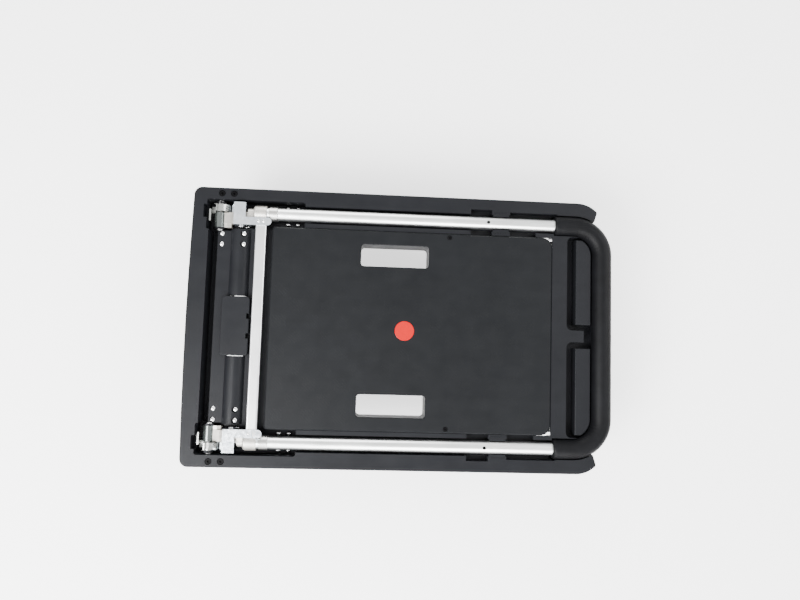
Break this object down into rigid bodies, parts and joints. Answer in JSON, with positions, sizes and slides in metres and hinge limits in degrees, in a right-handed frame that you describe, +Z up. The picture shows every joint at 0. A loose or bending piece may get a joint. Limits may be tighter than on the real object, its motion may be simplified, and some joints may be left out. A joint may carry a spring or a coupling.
{
  "type": "folding platform cart",
  "caption": "Folding platform cart: moulded deck with hand slots, fold-down U handle with foam grip and foot release bar, swivel and fixed casters.",
  "frame": {"origin": "on the floor, at the middle of the cart's overall length and width", "axes": "+X towards the nose, along the cart and away from the person pushing; +Y to that person's left; +Z up"},
  "size_m": [0.745, 0.48, 0.1765],
  "materials": {
    "deck_plastic": "moulded black polypropylene, fine texture, satin",
    "panel_plastic": "moulded black plastic, fine anti-slip texture",
    "badge_red": "plain red disc, semi-gloss",
    "black_screws": "black oxide",
    "zinc_sheet": "zinc-plated pressed sheet",
    "coated_steel": "black-coated pressed steel",
    "release_steel": "bright zinc-plated pressed sheet",
    "rivet_steel": "polished rivet heads",
    "pin_steel": "zinc-plated turned steel",
    "spring_steel": "spring wire",
    "tube_aluminium": "satin anodised drawn tube",
    "cast_aluminium": "die-cast, tumbled",
    "collar_aluminium": "turned, satin",
    "caster_steel": "zinc-plated pressed sheet",
    "wheel_plastic": "moulded grey nylon",
    "tyre_rubber": "dark grey thermoplastic rubber tread",
    "bow_steel": "black painted tube",
    "grip_foam": "black foam rubber, matt",
    "bar_aluminium": "satin anodised flat tube"
  },
  "bodies": {
    "deck": {"bearing_balls": "pin_steel", "bracket_rivets_left": "rivet_steel", "bracket_rivets_right": "rivet_steel", "caster_screws": "pin_steel", "centre_badge": "badge_red", "deck_frame": "deck_plastic", "deck_panel": "panel_plastic", "front_axle_left": "pin_steel", "front_axle_nuts": "pin_steel", "front_axle_right": "pin_steel", "front_fork_left": "caster_steel", "front_fork_right": "caster_steel", "gutter_cover": "deck_plastic", "hinge_bracket_left": "coated_steel", "hinge_bracket_right": "coated_steel", "hinge_pin_left": "pin_steel", "hinge_pin_right": "pin_steel", "hinge_spacers": "pin_steel", "kingpin_left": "pin_steel", "kingpin_right": "pin_steel", "lock_sector_left": "zinc_sheet", "lock_sector_right": "zinc_sheet", "panel_screws": "black_screws", "pin_clips": "pin_steel", "rear_plate_left": "caster_steel", "rear_plate_right": "caster_steel", "rim_bolts": "black_screws"},
    "handle": {"handle_bow": "bow_steel", "handle_grip": "grip_foam", "tube_screws": "black_screws", "handle_tube_left": "tube_aluminium", "knuckle_left": "cast_aluminium", "tube_collar_left": "collar_aluminium", "lever_pivot_left": "pin_steel", "lever_spring_left": "spring_steel", "handle_tube_right": "tube_aluminium", "knuckle_right": "cast_aluminium", "tube_collar_right": "collar_aluminium", "lever_pivot_right": "pin_steel", "lever_spring_right": "spring_steel"},
    "release_lever": {"release_bar": "bar_aluminium", "bar_rivets": "rivet_steel", "release_lever_left": "release_steel", "release_lever_right": "release_steel"},
    "swivel_left": {"rear_fork_left": "caster_steel", "rear_axle_left": "pin_steel", "rear_axle_nut_left": "pin_steel"},
    "rear_wheel_left": {"rear_wheel_left": "wheel_plastic", "rear_tyre_left": "tyre_rubber"},
    "front_wheel_left": {"front_wheel_left": "wheel_plastic", "front_tyre_left": "tyre_rubber"},
    "swivel_right": {"rear_fork_right": "caster_steel", "rear_axle_right": "pin_steel", "rear_axle_nut_right": "pin_steel"},
    "rear_wheel_right": {"rear_wheel_right": "wheel_plastic", "rear_tyre_right": "tyre_rubber"},
    "front_wheel_right": {"front_wheel_right": "wheel_plastic", "front_tyre_right": "tyre_rubber"}
  },
  "joints": [
    {"name": "handle_fold", "type": "hinge", "parent": "deck", "child": "handle", "pos_m": [-0.326, 0, 0.146], "axis": [0, -1, 0], "range_deg": [0, 90]},
    {"name": "release_press", "type": "hinge", "parent": "handle", "child": "release_lever", "pos_m": [-0.2875, 0, 0.155], "axis": [0, -1, 0], "range_deg": [0, 12], "stiffness_Nm_per_rad": 6, "springref_deg": -14.32},
    {"name": "caster_swivel_left", "type": "hinge", "parent": "deck", "child": "swivel_left", "pos_m": [-0.262, 0.168, 0.117], "axis": [0, 0, 1], "continuous": true},
    {"name": "rear_wheel_spin_left", "type": "hinge", "parent": "swivel_left", "child": "rear_wheel_left", "pos_m": [-0.294, 0.168, 0.05], "axis": [0, 1, 0], "continuous": true},
    {"name": "front_wheel_spin_left", "type": "hinge", "parent": "deck", "child": "front_wheel_left", "pos_m": [0.196, 0.168, 0.05], "axis": [0, 1, 0], "continuous": true},
    {"name": "caster_swivel_right", "type": "hinge", "parent": "deck", "child": "swivel_right", "pos_m": [-0.262, -0.168, 0.117], "axis": [0, 0, 1], "continuous": true},
    {"name": "rear_wheel_spin_right", "type": "hinge", "parent": "swivel_right", "child": "rear_wheel_right", "pos_m": [-0.294, -0.168, 0.05], "axis": [0, 1, 0], "continuous": true},
    {"name": "front_wheel_spin_right", "type": "hinge", "parent": "deck", "child": "front_wheel_right", "pos_m": [0.196, -0.168, 0.05], "axis": [0, 1, 0], "continuous": true}
  ]
}
